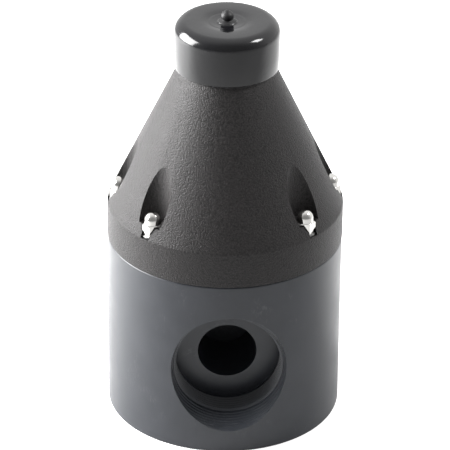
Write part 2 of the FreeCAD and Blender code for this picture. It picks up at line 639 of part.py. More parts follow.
def make_stem_group():
    """Stem, plate under the diaphragm, piston, and the nut that clamps them."""
    washer_top = f"({spring_seat} + stem_washer_thickness)"
    nut_top = f"({washer_top} + stem_nut_height)"
    stem_top = f"({nut_top} + stem_end)"
    screw_hole = "(retainer_screw_radius + thread_gap)"
    hole_top = f"({stem_low} + retainer_screw_grip + stud_hole_gap)"
    plate = "(piston_radius - retainer_setback)"
    finish(turned("valve_stem", [
        (screw_hole, stem_low),
        ("stem_radius", stem_low),
        ("stem_radius", poppet_top),
        ("stem_radius + stem_collar_width", poppet_top),
        ("stem_radius + stem_collar_width", retainer_low),
        ("stem_radius", retainer_low),
        ("stem_radius", f"{stem_top} - hex_chamfer"),
        ("stem_radius - hex_chamfer", stem_top),
        ("0", stem_top),
        ("0", hole_top),
        (screw_hole, hole_top),
    ]), "valve_stem")
    finish(turned("diaphragm_retainer", [
        (stem_bore, retainer_low),
        (f"{plate} - retainer_thickness / 2", retainer_low),
        (plate, f"{retainer_low} + retainer_thickness / 2"),
        (plate, hub_low),
        (stem_bore, hub_low),
    ]), "diaphragm_retainer")
    finish(turned("piston", [
        (stem_bore, hub_top),
        ("piston_radius - hex_chamfer", hub_top),
        ("piston_radius", f"{hub_top} + hex_chamfer"),
        ("piston_radius", piston_top),
        ("piston_radius - piston_skirt", piston_top),
        ("piston_radius - piston_skirt", spring_seat),
        (stem_bore, spring_seat),
    ]), "piston")
    finish(turned("stem_washer", [
        (stem_bore, spring_seat),
        (stem_washer, spring_seat),
        (stem_washer, washer_top),
        (stem_bore, washer_top),
    ]), "stem_washer")
    corner = "stem_nut_flats / sqrt(3)"
    finish(hexagonal("stem_nut", [
        (stem_bore, washer_top),
        (f"{corner} - 2 * hex_chamfer", washer_top),
        (corner, f"{washer_top} + hex_chamfer"),
        (corner, f"{nut_top} - hex_chamfer"),
        (f"{corner} - 2 * hex_chamfer", nut_top),
        (stem_bore, nut_top),
    ], "stem_nut_flats"), "stem_nut")


def make_spring():
    """Compression spring with ground ends, and the washer that it stands on."""
    finish(turned("spring_washer", [
        (spring_washer_bore, spring_seat),
        (f"{spring_outside} + spring_washer_rim", spring_seat),
        (f"{spring_outside} + spring_washer_rim", spring_low),
        (spring_washer_bore, spring_low),
    ]), "spring_washer")
    coil = doc.addObject("PartDesign::Body", "spring_coil")
    section = new_sketch(coil, "spring_wire_section", "XZ_Plane")
    draw_circle(section, spring_middle, spring_low, "spring_wire / 2")
    helix = coil.newObject("PartDesign::AdditiveHelix", "spring_helix")
    helix.Profile = section
    helix.ReferenceAxis = (section, ["V_Axis"])
    helix.Mode = "height-turns-angle"
    bind(helix, "Height", "spring_length")
    bind(helix, "Turns", "spring_turns")
    helix.Angle = 0
    doc.recompute()
    between = doc.addObject("Part::Cylinder", "spring_space")
    bind(between, "Radius", f"{spring_outside} + spring_wire")
    bind(between, "Height", "spring_length")
    bind(between, "Placement.Base.z", spring_low)
    ground = doc.addObject("Part::Common", "set_spring")
    ground.Base = coil
    ground.Tool = between
    doc.recompute()
    finish(ground, "set_spring")


def make_adjuster():
    """Bushing, adjusting screw, lock nut, and the button that presses on the spring."""
    pilot = f"({spring_inside} - button_gap)"
    flange = f"({spring_outside} + button_margin)"
    flange_face = f"({button_low} + button_flange)"
    socket_floor = f"({button_low} + button_floor)"
    socket = "(screw_radius + button_socket_gap)"
    finish(turned("spring_button", [
        ("0", f"{button_low} - button_pilot"),
        (f"{pilot} - body_chamfer", f"{button_low} - button_pilot"),
        (pilot, f"{button_low} - button_pilot + body_chamfer"),
        (pilot, button_low),
        (flange, button_low),
        (flange, flange_face),
        (f"{socket} + button_boss_wall", flange_face),
        (f"{socket} + button_boss_wall", button_top),
        (socket, button_top),
        (socket, socket_floor),
        ("0", socket_floor),
    ]), "spring_button")
    finish(turned("screw_bushing", [
        (screw_bore, f"{web_low} - bushing_flange"),
        (f"{bushing_radius} + bushing_rim", f"{web_low} - bushing_flange"),
        (f"{bushing_radius} + bushing_rim", web_low),
        (bushing_radius, web_low),
        (bushing_radius, web_top),
        (screw_bore, web_top),
    ]), "screw_bushing")
    corner = "screw_flats / sqrt(3)"
    point_top = f"({socket_floor} + screw_point_length)"
    finish(hexagonal("adjusting_screw", [
        ("0", socket_floor),
        ("screw_radius - screw_point_step", socket_floor),
        ("screw_radius - screw_point_step", point_top),
        ("screw_radius", f"{point_top} + screw_point_step"),
        ("screw_radius", head_low),
        ("screw_flats / 2", head_low),
        (corner, f"{head_low} + hex_chamfer"),
        (corner, f"{head_top} - hex_chamfer"),
        (f"{corner} - 2 * hex_chamfer", head_top),
        ("0", head_top),
    ], "screw_flats"), "adjusting_screw")
    corner = "lock_nut_flats / sqrt(3)"
    nut_top = f"({web_top} + lock_nut_height)"
    finish(hexagonal("lock_nut", [
        (screw_bore, web_top),
        (f"{corner} - 2 * hex_chamfer", web_top),
        (corner, f"{web_top} + hex_chamfer"),
        (corner, f"{nut_top} - hex_chamfer"),
        (f"{corner} - 2 * hex_chamfer", nut_top),
        (screw_bore, nut_top),
    ], "lock_nut_flats"), "lock_nut")


def make_dust_cap():
    """Dip-moulded cap with a rounded edge, a dished top and a pull nib."""
    inside = "(neck_radius + cap_fit)"
    outside = f"({inside} + cap_wall)"
    cap_low = f"({neck_base} + cap_foot_gap)"
    cap_high = f"({head_top} + cap_headroom + cap_top_wall + cap_dish)"
    inside_top = f"({head_top} + cap_headroom)"
    dish = f"({cap_high} - cap_dish)"
    inner_edge = "(cap_edge - cap_wall)"
    tip = f"({dish} + nib_height)"
    bead = f"({dish} + nib_height / 2)"
    half_bead = "(nib_bead_radius - nib_neck_radius)"
    finish(turned("dust_cap", [
        (inside, cap_low),
        (outside, cap_low),
        (outside, f"{cap_high} - cap_edge", 1,
         f"{outside} - cap_edge", f"{cap_high} - cap_edge"),
        (f"{outside} - cap_edge", cap_high),
        ("2 * nib_base_radius", dish),
        ("nib_base_radius", dish),
        ("nib_base_radius", f"{dish} + nib_base_height"),
        ("nib_neck_radius", f"{dish} + 2 * nib_base_height"),
        ("nib_neck_radius", f"{bead} - {half_bead}"),
        ("nib_bead_radius", bead),
        ("nib_neck_radius", f"{bead} + {half_bead}"),
        ("0", tip),
        ("0", inside_top),
        (f"{inside} - {inner_edge}", inside_top, -1,
         f"{inside} - {inner_edge}", f"{inside_top} - {inner_edge}"),
        (inside, f"{inside_top} - {inner_edge}"),
    ]), "dust_cap")


make_valve_body()
make_bonnet()
make_fasteners()
make_seat()
make_diaphragm()
make_poppet_group()
make_stem_group()
make_spring()
make_adjuster()
make_dust_cap()
doc.recompute()

for thing in doc.Objects:
    if "Invalid" in thing.State or "Error" in thing.State:
        raise RuntimeError(thing.Name + " failed to build")
os.makedirs("parts", exist_ok=True)
for part in finished:
    if part.Shape.isNull() or not part.Shape.isValid():
        raise RuntimeError(part.Label + " has no valid shape")
    part.Shape.exportStep("parts/" + part.Label + ".step")
    print(part.Label, "solids", len(part.Shape.Solids), "volume", round(part.Shape.Volume, 1))
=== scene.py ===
"""Looks of the relief valve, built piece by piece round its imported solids."""
import json
import math

import bpy
from mathutils import Matrix, Vector


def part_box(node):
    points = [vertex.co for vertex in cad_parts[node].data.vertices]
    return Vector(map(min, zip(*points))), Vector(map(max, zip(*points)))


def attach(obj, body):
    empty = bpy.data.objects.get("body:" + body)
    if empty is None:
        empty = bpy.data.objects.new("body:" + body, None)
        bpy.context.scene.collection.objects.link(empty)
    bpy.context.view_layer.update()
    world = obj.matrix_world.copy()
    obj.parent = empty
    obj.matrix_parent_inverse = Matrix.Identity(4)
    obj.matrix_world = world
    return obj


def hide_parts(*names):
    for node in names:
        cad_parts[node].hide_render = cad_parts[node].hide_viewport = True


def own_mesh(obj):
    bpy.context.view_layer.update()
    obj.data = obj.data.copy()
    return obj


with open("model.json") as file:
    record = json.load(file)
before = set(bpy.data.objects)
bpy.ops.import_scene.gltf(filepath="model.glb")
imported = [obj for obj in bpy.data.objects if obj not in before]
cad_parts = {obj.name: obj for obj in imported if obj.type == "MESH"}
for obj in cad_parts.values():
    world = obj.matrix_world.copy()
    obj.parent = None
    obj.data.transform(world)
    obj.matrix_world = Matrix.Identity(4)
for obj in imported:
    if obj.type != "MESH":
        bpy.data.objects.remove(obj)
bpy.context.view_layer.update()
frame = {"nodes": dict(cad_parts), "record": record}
nodes = frame["nodes"]
MM = 0.001
INCH = 25.4

# Valve body: a length of grey PVC bar, faced and turned all round, bored from above for the
# seat and the chamber. Each of the two opposed ports is a drilled passage, a tapped bore
# and a wide conical mouth with the tool's rings on it. Its edges are only broken by hand.
body_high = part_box("valve_body")[1]
bar_radius = body_high.x / MM
bar_height = body_high.z / MM
bar_edge = 0.8
rim_recess = 52
rim_depth = 2
chamber_radius = 42.45
chamber_floor = 80
gallery_radius = 33
gallery_floor = 70
seat_pocket = 19.5
seat_ledge = 64.5

outlet = {mount["name"]: mount for mount in frame["record"]["mounts"]}["outlet_port"]
port_height = outlet["pos_m"][2] / MM
tap_radius = outlet["dims"]["r_mm"]
tap_length = outlet["dims"]["length_mm"]
tap_end = abs(outlet["pos_m"][1]) / MM + tap_length / 2
shoulder = tap_end - tap_length
pipe_pitch = INCH / 11.5
pipe_depth = 1.35
pipe_turns = 8
thread_start = 1.6
relief_depth = 0.4
relief_width = 2.2
mouth_foot = 52.0
mouth_radius = 29.3
mouth_flare = 0.491
mouth_reach = 15
first_ring = 1.3
ring_spacing = 1.5
ring_depth = 0.26
ring_width = 0.1
ring_count = 7
passage_radius = 15.875
passage_overlap = 3
inlet_end = 20.5
riser_circle = 27
riser_radius = 5.5
stud_circle = 57.15
stud_places = {1: -45, 2: 0, 3: 45, 4: 135, 5: 180, 6: 225}
stud_hole_radius = 2.45
stud_hole_depth = 18.6

# A cutter stands a little turned on its own axis, so that its facets miss those of the bar.
tap_twist = math.radians(1.3)
mouth_twist = math.radians(0.7)


def start_fresh():
    """Let go of everything before the next piece begins."""
    bpy.ops.object.select_all(action="DESELECT")


def name_piece(name):
    """Give the piece in hand its name."""
    piece = bpy.context.object
    piece.name = name
    piece.data.name = name
    return piece


def take_in_hand(piece):
    """Select one piece alone."""
    start_fresh()
    piece.select_set(True)
    bpy.context.view_layer.objects.active = piece
    return piece


def pick(piece, kind, wanted):
    """Select the vertices, edges or faces of a piece whose middle passes a test."""
    bpy.ops.object.mode_set(mode="EDIT")
    modes = {"vertices": "VERT", "edges": "EDGE", "polygons": "FACE"}
    bpy.ops.mesh.select_mode(type=modes[kind])
    bpy.ops.mesh.select_all(action="DESELECT")
    bpy.ops.object.mode_set(mode="OBJECT")
    mesh = piece.data
    for part in getattr(mesh, kind):
        if kind == "vertices":
            part.select = wanted(part.co / MM)
        elif kind == "edges":
            part.select = all(wanted(mesh.vertices[end].co / MM) for end in part.vertices)
        else:
            part.select = wanted(part.center / MM)
    bpy.ops.object.mode_set(mode="EDIT")


def turn_piece(name, outline, steps):
    """Spin an (across, up) outline round the valve's axis, as on a lathe, in millimetres.

    A third number rounds that corner.
    """
    start_fresh()
    bpy.ops.mesh.primitive_plane_add(size=MM, location=(0, 0, 0))
    piece = name_piece(name)
    bpy.ops.object.mode_set(mode="EDIT")
    bpy.ops.mesh.select_mode(type="VERT")
    bpy.ops.mesh.select_all(action="SELECT")
    bpy.ops.mesh.merge(type="CENTER")
    across, up = outline[0][:2]
    bpy.ops.transform.translate(value=(across * MM, 0, up * MM))
    for corner in outline[1:]:
        bpy.ops.mesh.extrude_region_move(TRANSFORM_OT_translate={
            "value": ((corner[0] - across) * MM, 0, (corner[1] - up) * MM)})
        across, up = corner[:2]
    for radius in sorted({corner[2] for corner in outline if len(corner) > 2}):
        spots = [Vector((corner[0], 0, corner[1]))
                 for corner in outline if corner[2:] == (radius,)]
        pick(piece, "vertices", lambda at: any((at - spot).length < 0.001 for spot in spots))
        bpy.ops.mesh.bevel(offset=radius * MM, segments=4, affect="VERTICES", clamp_overlap=False)
    bpy.ops.mesh.select_all(action="SELECT")
    bpy.ops.mesh.spin(steps=steps, angle=math.tau, center=(0, 0, 0), axis=(0, 0, 1))
    bpy.ops.mesh.select_all(action="SELECT")
    bpy.ops.mesh.remove_doubles(threshold=0.002 * MM)
    bpy.ops.mesh.delete_loose(use_verts=True, use_edges=True, use_faces=False)
    bpy.ops.mesh.select_all(action="SELECT")
    bpy.ops.mesh.normals_make_consistent(inside=False)
    bpy.ops.object.mode_set(mode="OBJECT")
    return piece


def drill(name, radius, start, end, steps=96, tip=None):
    """A round cutter that stands between two points, in millimetres."""
    start, end = Vector(start), Vector(end)
    start_fresh()
    bpy.ops.mesh.primitive_cone_add(
        vertices=steps, radius1=radius * MM, radius2=(radius if tip is None else tip) * MM,
        depth=(end - start).length * MM, location=(start + end) / 2 * MM,
        rotation=(end - start).to_track_quat("Z", "Y").to_euler())
    bpy.ops.object.transform_apply(location=True, rotation=True, scale=True)
    return name_piece(name)


def combine(piece, other, how):
    """Join, cut or cross a piece with another one, which is used up."""
    take_in_hand(piece)
    step = piece.modifiers.new("machining", "BOOLEAN")
    step.object = other
    step.operation = how
    step.solver = "MANIFOLD"
    bpy.ops.object.modifier_apply(modifier=step.name)
    bpy.data.objects.remove(other)
    return piece


def thread(name, minor, depth, pitch, low, high, steps=96):
    """A rod with a screw thread that stands on the valve's axis, in millimetres.

    Its flats, its flanks and its run-in are shares of the pitch.
    """
    root, flank, crest, run_in = [share * pitch for share in (0.08, 0.4, 0.12, 1.3)]
    start_fresh()
    bpy.ops.mesh.primitive_plane_add(size=MM, location=(0, 0, 0))
    rod = name_piece(name)
    bpy.ops.object.mode_set(mode="EDIT")
    bpy.ops.mesh.select_mode(type="VERT")
    bpy.ops.mesh.select_all(action="SELECT")
    bpy.ops.mesh.merge(type="CENTER")
    bpy.ops.transform.translate(value=(minor * MM, 0, (low - run_in) * MM))
    for across, up in ((0, root), (depth, flank), (0, crest), (-depth, flank)):
        bpy.ops.mesh.extrude_region_move(
            TRANSFORM_OT_translate={"value": (across * MM, 0, up * MM)})
    bpy.ops.object.mode_set(mode="OBJECT")
    winding = rod.modifiers.new("winding", "SCREW")
    winding.axis = "Z"
    winding.steps = steps
    winding.render_steps = steps
    winding.screw_offset = pitch * MM
    winding.iterations = math.ceil((high - low) / pitch) + 3
    winding.use_merge_vertices = True
    winding.merge_threshold = 0.001 * MM
    bpy.ops.object.modifier_apply(modifier=winding.name)
    bpy.ops.object.mode_set(mode="EDIT")
    bpy.ops.mesh.select_mode(type="EDGE")
    bpy.ops.mesh.select_all(action="SELECT")
    bpy.ops.mesh.remove_doubles(threshold=0.001 * MM)
    for height, way in ((low, -1), (high, 1)):
        bpy.ops.mesh.select_all(action="SELECT")
        bpy.ops.mesh.bisect(plane_co=(0, 0, height * MM), plane_no=(0, 0, way),
                            use_fill=True, clear_outer=True, threshold=0.0001 * MM)
    bpy.ops.mesh.select_all(action="SELECT")
    bpy.ops.mesh.normals_make_consistent(inside=False)
    bpy.ops.object.mode_set(mode="OBJECT")
    return rod


valve_body = turn_piece("turned_body", [
    (0, 0), (bar_radius, 0, bar_edge), (bar_radius, 2 * bar_edge),
    (bar_radius, bar_height - 2 * bar_edge), (bar_radius, bar_height, bar_edge),
    (rim_recess, bar_height), (rim_recess, bar_height - rim_depth),
    (chamber_radius, bar_height - rim_depth), (chamber_radius, chamber_floor),
    (gallery_radius, chamber_floor), (gallery_radius, gallery_floor),
    (seat_pocket, gallery_floor), (seat_pocket, seat_ledge), (passage_radius, seat_ledge),
    (passage_radius, port_height), (0, port_height)], steps=256)


def stand(piece, turn, place):
    """Turn a piece, move it to its place in millimetres, and fix both in its mesh."""
    take_in_hand(piece)
    piece.rotation_euler = turn
    piece.location = Vector(place) * MM
    bpy.ops.object.transform_apply(location=True, rotation=True, scale=True)
    return piece


def break_edges(piece, width, wanted, segments=2):
    """Break the edges whose two ends pass a test."""
    take_in_hand(piece)
    pick(piece, "edges", wanted)
    bpy.ops.mesh.bevel(offset=width * MM, segments=segments, affect="EDGES", clamp_overlap=True)
    bpy.ops.object.mode_set(mode="OBJECT")
    return piece


def clean_up(piece, smooth=35, merge=0.002):
    """Merge what a cut left double, and shade all but the true edges smooth."""
    take_in_hand(piece)
    bpy.ops.object.mode_set(mode="EDIT")
    bpy.ops.mesh.select_all(action="SELECT")
    bpy.ops.mesh.remove_doubles(threshold=merge * MM)
    bpy.ops.mesh.dissolve_degenerate(threshold=0.001 * MM)
    bpy.ops.object.mode_set(mode="OBJECT")
    bpy.ops.object.shade_smooth_by_angle(angle=math.radians(smooth))
    return piece


def on_stud_circle(turn):
    """Where a stud stands, across and back, at an angle round the axis in degrees."""
    return stud_circle * math.cos(math.radians(turn)), stud_circle * math.sin(math.radians(turn))


for side in (-1, 1):
    lean = math.radians(-90 * side)
    tap = thread("pipe_tap", tap_radius, pipe_depth, pipe_pitch, 0, pipe_turns * pipe_pitch, 144)
    tap = stand(tap, (lean, tap_twist, 0), (0, side * (shoulder + thread_start), port_height))
    valve_body = combine(valve_body, tap, "DIFFERENCE")
    valve_body = combine(valve_body, drill(
        "port_bore", tap_radius + relief_depth, (0, side * shoulder, port_height),
        (0, side * (shoulder + relief_width), port_height), 160), "DIFFERENCE")
    rings = []
    for step in range(ring_count):
        reach = mouth_foot + first_ring + step * ring_spacing
        across = mouth_radius + (reach - mouth_foot) * mouth_flare
        rings += [(across, reach), (across + ring_depth, reach + ring_width)]
    countersink = turn_piece("countersink", [
        (0, mouth_foot - 0.2), (mouth_radius + 0.25, mouth_foot - 0.2),
        (mouth_radius + 0.25, mouth_foot + 0.25), *rings,
        (mouth_radius + mouth_reach * mouth_flare, mouth_foot + mouth_reach),
        (0, mouth_foot + mouth_reach), (0, mouth_foot - 0.2)], steps=144)
    countersink = stand(countersink, (lean, mouth_twist, 0), (0, 0, port_height))
    valve_body = combine(valve_body, countersink, "DIFFERENCE")
    stop = 0 if side < 0 else inlet_end
    valve_body = combine(valve_body, drill(
        "passage", passage_radius, (0, side * stop, port_height),
        (0, side * (shoulder + passage_overlap), port_height), 128), "DIFFERENCE")
for turn in (-28, 0, 28):
    across = riser_circle * math.sin(math.radians(turn))
    back = riser_circle * math.cos(math.radians(turn))
    valve_body = combine(valve_body, drill(
        "riser", riser_radius, (across, back, port_height), (across, back, gallery_floor + 1), 48),
        "DIFFERENCE")
for turn in stud_places.values():
    across, back = on_stud_circle(turn)
    valve_body = combine(valve_body, drill(
        "stud_hole", stud_hole_radius, (across, back, bar_height - stud_hole_depth),
        (across, back, bar_height + 1), 32), "DIFFERENCE")
valve_body = clean_up(valve_body)


def on_port_rim(at):
    """Whether a point lies where a port's conical mouth meets the side of the bar."""
    from_port = math.hypot(at.x, at.z - port_height)
    cone = mouth_radius + (abs(at.y) - mouth_foot) * mouth_flare
    return abs(from_port - cone) < 0.25 and abs(math.hypot(at.x, at.y) - bar_radius) < 0.03


valve_body = break_edges(valve_body, 0.3, on_port_rim)
valve_body = clean_up(valve_body, smooth=35, merge=0.005)


def new_group(name, inputs, outputs):
    """An empty shader group with named inputs and outputs."""
    group = bpy.data.node_groups.new(name, "ShaderNodeTree")
    for label, value in inputs.items():
        socket = group.interface.new_socket(
            name=label, in_out="INPUT", socket_type="NodeSocketFloat")
        socket.default_value = value
    for label, kind in outputs.items():
        group.interface.new_socket(
            name=label, in_out="OUTPUT", socket_type="NodeSocket" + kind)
    return group


def put(tree, kind, *wires, **settings):
    """Add a node, set what is named, and wire sockets into it."""
    node = tree.nodes.new("ShaderNode" + kind if not kind.startswith("NodeGroup") else kind)
    for setting, value in settings.items():
        setattr(node, setting, value)
    for source, socket in wires:
        if hasattr(source, "is_output"):
            tree.links.new(source, node.inputs[socket])
        else:
            node.inputs[socket].default_value = source
    return node


def calculate(tree, how, first, second=0.0, clamp=False):
    """One step of arithmetic between sockets or numbers."""
    return put(tree, "Math", (first, 0), (second, 1), operation=how, use_clamp=clamp).outputs[0]


def distance_from_axis(tree, axes):
    """How far a point is from the valve's axis, from its separated coordinates."""
    squares = [calculate(tree, "MULTIPLY", axes.outputs[axis], axes.outputs[axis])
               for axis in (0, 1)]
    return calculate(tree, "SQRT", calculate(tree, "ADD", *squares))


# Mottle: slow and fine unevenness of a plastic's surface, as a shade round 0.5 and a height.
mottle = new_group("Mottle", {"Patch size": 0.01, "Grain size": 0.0005, "Seed": 0.0},
                   {"Patches": "Float", "Grain": "Float"})
outside = put(mottle, "NodeGroupInput")
result = put(mottle, "NodeGroupOutput")
where = put(mottle, "TexCoord").outputs["Object"]
shifted = put(mottle, "VectorMath", (where, 0), (outside.outputs["Seed"], 1), operation="ADD")
patches = put(mottle, "TexNoise", (shifted.outputs[0], "Vector"),
              (calculate(mottle, "DIVIDE", 1.0, outside.outputs["Patch size"]), "Scale"),
              (3.0, "Detail"), (0.55, "Roughness"))
grain = put(mottle, "TexNoise", (shifted.outputs[0], "Vector"),
            (calculate(mottle, "DIVIDE", 1.0, outside.outputs["Grain size"]), "Scale"),
            (2.0, "Detail"), (0.6, "Roughness"))
mottle.links.new(patches.outputs[0], result.inputs["Patches"])
mottle.links.new(grain.outputs[0], result.inputs["Grain"])

# Tool lines: the uneven rings that a lathe leaves, along the height and across the faces.
tool_lines = new_group("Tool lines", {"Spacing": 0.0004, "Seed": 0.0}, {"Height": "Float"})
outside = put(tool_lines, "NodeGroupInput")
result = put(tool_lines, "NodeGroupOutput")
axes = put(tool_lines, "SeparateXYZ", (put(tool_lines, "TexCoord").outputs["Object"], 0))
lines_round = []
for way in (distance_from_axis(tool_lines, axes), axes.outputs[2]):
    along = calculate(tool_lines, "DIVIDE", way, outside.outputs["Spacing"])
    along = calculate(tool_lines, "ADD", along, outside.outputs["Seed"])
    ring = put(tool_lines, "TexNoise", (along, "W"), (1.0, "Scale"), (3.0, "Detail"),
               noise_dimensions="1D")
    lines_round.append(ring.outputs[0])
tool_lines.links.new(calculate(tool_lines, "ADD", *lines_round), result.inputs["Height"])

# Scuffs: sparse pale rubs and short scratches from handling, as a mask.
scuffs = new_group("Scuffs", {"Size": 0.012, "Amount": 0.3, "Seed": 0.0}, {"Mask": "Float"})
outside = put(scuffs, "NodeGroupInput")
result = put(scuffs, "NodeGroupOutput")
where = put(scuffs, "TexCoord").outputs["Object"]
shifted = put(scuffs, "VectorMath", (where, 0), (outside.outputs["Seed"], 1), operation="ADD")
spread = put(scuffs, "TexNoise", (shifted.outputs[0], "Vector"),
             (calculate(scuffs, "DIVIDE", 1.0, outside.outputs["Size"]), "Scale"), (2.0, "Detail"))
slanted = put(scuffs, "Mapping", (shifted.outputs[0], "Vector"), ((0.4, 0.9, 0.3), "Rotation"),
              ((1.0, 6.0, 1.0), "Scale"))
streaks = put(scuffs, "TexNoise", (slanted.outputs[0], "Vector"),
              (calculate(scuffs, "DIVIDE", 4.0, outside.outputs["Size"]), "Scale"),
              (6.0, "Detail"), (0.75, "Roughness"))
spread_mask = put(scuffs, "MapRange", (spread.outputs[0], "Value"),
                  (0.56, "From Min"), (0.72, "From Max"))
streak_mask = put(scuffs, "MapRange", (streaks.outputs[0], "Value"),
                  (0.52, "From Min"), (0.68, "From Max"))
both = calculate(scuffs, "MULTIPLY", spread_mask.outputs[0], streak_mask.outputs[0])
both = calculate(scuffs, "MULTIPLY", both, outside.outputs["Amount"], True)
scuffs.links.new(both, result.inputs["Mask"])


def new_finish(name, roughness, metallic=0.0, **sockets):
    """A material with its shader; what is the same all over is set on the shader itself."""
    finish = bpy.data.materials.new(name)
    finish.use_nodes = True
    shader = finish.node_tree.nodes["Principled BSDF"]
    shader.inputs["Roughness"].default_value = roughness
    shader.inputs["Metallic"].default_value = metallic
    for socket, value in sockets.items():
        shader.inputs[socket.replace("_", " ")].default_value = value
    return finish, finish.node_tree, shader


def coat(piece, finish):
    """Give a whole piece one material."""
    piece.data.materials.clear()
    piece.data.materials.append(finish)
    piece.data.polygons.foreach_set("material_index", [0] * len(piece.data.polygons))


def use_group(tree, group, **values):
    """Place a shared effect in a material, with this material's own values."""
    node = put(tree, "Group", node_tree=group)
    for label, value in values.items():
        node.inputs[label.replace("_", " ")].default_value = value
    return node


def blend_colours(tree, mask, first, second):
    """A colour that goes from the first to the second as the mask rises."""
    node = put(tree, "Mix", (mask, 0), data_type="RGBA")
    for colour, socket in ((first, 6), (second, 7)):
        if hasattr(colour, "is_output"):
            tree.links.new(colour, node.inputs[socket])
        else:
            node.inputs[socket].default_value = (*colour, 1)
    return node.outputs[2]


def spread_range(tree, mask, low, high):
    """A value that goes from low to high as a mask goes from 0.3 to 0.7."""
    return put(tree, "MapRange", (mask, "Value"), (0.3, "From Min"), (0.7, "From Max"),
               (low, "To Min"), (high, "To Max")).outputs[0]


def raise_surface(tree, shader, height, distance, before=None):
    """A bump of a height in metres, on top of the one before it."""
    node = put(tree, "Bump", (height, "Height"), (distance, "Distance"), (1.0, "Strength"))
    if before is not None:
        tree.links.new(before, node.inputs["Normal"])
    tree.links.new(node.outputs[0], shader.inputs["Normal"])
    return node.outputs[0]


def bare_metal(name, roughness, patch_size, seed, tones, shine, height):
    """A metal that is mottled in tone and shine, with a fine grain of a height in metres."""
    finish, tree, shader = new_finish(name, roughness, 1.0)
    uneven = use_group(tree, mottle, Patch_size=patch_size, Grain_size=0.0003, Seed=seed)
    tone = blend_colours(tree, spread_range(tree, uneven.outputs["Patches"], 0, 1), *tones)
    tree.links.new(tone, shader.inputs["Base Color"])
    dull = spread_range(tree, uneven.outputs["Grain"], *shine)
    tree.links.new(dull, shader.inputs["Roughness"])
    raise_surface(tree, shader, uneven.outputs["Grain"], height)
    return finish


grey_pvc, tree, shader = new_finish("Turned grey PVC", 0.35, Specular_IOR_Level=0.45)
uneven = use_group(tree, mottle, Patch_size=0.018, Grain_size=0.0007)
lines = use_group(tree, tool_lines, Spacing=0.0007)
rubs = use_group(tree, scuffs, Size=0.014, Amount=0.5, Seed=3.0)
tone = blend_colours(tree, spread_range(tree, uneven.outputs["Patches"], 0, 1),
                     (0.018, 0.0205, 0.0255), (0.025, 0.0275, 0.0335))
tone = blend_colours(tree, rubs.outputs["Mask"], tone, (0.09, 0.09, 0.097))
tree.links.new(tone, shader.inputs["Base Color"])
dull = spread_range(tree, uneven.outputs["Patches"], 0.31, 0.39)
dull = calculate(tree, "ADD", dull, calculate(tree, "MULTIPLY", rubs.outputs["Mask"], 0.2))
tree.links.new(dull, shader.inputs["Roughness"])
bumped = raise_surface(tree, shader, lines.outputs["Height"], 0.000012)
raise_surface(tree, shader, uneven.outputs["Grain"], 0.00001, before=bumped)

coat(valve_body, grey_pvc)
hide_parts("valve_body")
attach(valve_body, "housing")


# Seat ring: a grey PVC ring turned with a narrow raised lip, pressed into the body over the
# way out. An O-ring in its groove, of moulded black rubber, seals it in its pocket.
black_rubber, tree, shader = new_finish("Moulded black rubber", 0.55, Specular_IOR_Level=0.4)
uneven = use_group(tree, mottle, Patch_size=0.006, Grain_size=0.0004, Seed=21.0)
tone = blend_colours(tree, spread_range(tree, uneven.outputs["Patches"], 0, 1),
                     (0.010, 0.010, 0.010), (0.022, 0.022, 0.021))
tree.links.new(tone, shader.inputs["Base Color"])
dull = spread_range(tree, uneven.outputs["Patches"], 0.48, 0.64)
tree.links.new(dull, shader.inputs["Roughness"])
raise_surface(tree, shader, uneven.outputs["Grain"], 0.00002)


def arc(middle, height, radius, start, end, parts):
    """Points of an arc in the outline's plane, from one angle to another."""
    return [(middle + radius * math.cos(math.radians(start + (end - start) * part / parts)),
             height + radius * math.sin(math.radians(start + (end - start) * part / parts)))
            for part in range(parts + 1)]


nodes["seat_insert"].material_slots[0].material = grey_pvc
ring_low, ring_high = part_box("seat_oring")
ring_height = (ring_low.z + ring_high.z) / 2 / MM
cord_radius = (ring_high.z - ring_low.z) / 2 / MM
cord_middle = ring_high.x / MM - cord_radius
cord_round = arc(cord_middle, ring_height, cord_radius - 0.02, 52, 398, 22)
seal_ring = turn_piece("seat_ring_seal", [
    *cord_round, (cord_middle + cord_radius * 0.79, ring_height + cord_radius * 0.6),
    (cord_middle + cord_radius * 0.6, ring_height + cord_radius * 0.79), cord_round[0]], steps=120)
seal_ring = clean_up(seal_ring, smooth=40, merge=0.005)
coat(seal_ring, black_rubber)
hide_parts("seat_oring")
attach(seal_ring, "housing")


# Closing member: a stainless stem with a grey PVC poppet on its foot. The poppet's flat seal
# of black rubber is held from below by a PVC retainer, whose wings run in the seat ring, and
# by one stainless screw.
steel, tree, shader = new_finish("Machined stainless steel", 0.3, 1.0)
uneven = use_group(tree, mottle, Patch_size=0.004, Grain_size=0.0003, Seed=9.0)
lines = use_group(tree, tool_lines, Spacing=0.0003, Seed=2.0)
tone = blend_colours(tree, spread_range(tree, uneven.outputs["Patches"], 0, 1),
                     (0.48, 0.48, 0.49), (0.58, 0.58, 0.59))
tree.links.new(tone, shader.inputs["Base Color"])
dull = spread_range(tree, uneven.outputs["Grain"], 0.24, 0.36)
tree.links.new(dull, shader.inputs["Roughness"])
raise_surface(tree, shader, lines.outputs["Height"], 0.000006)

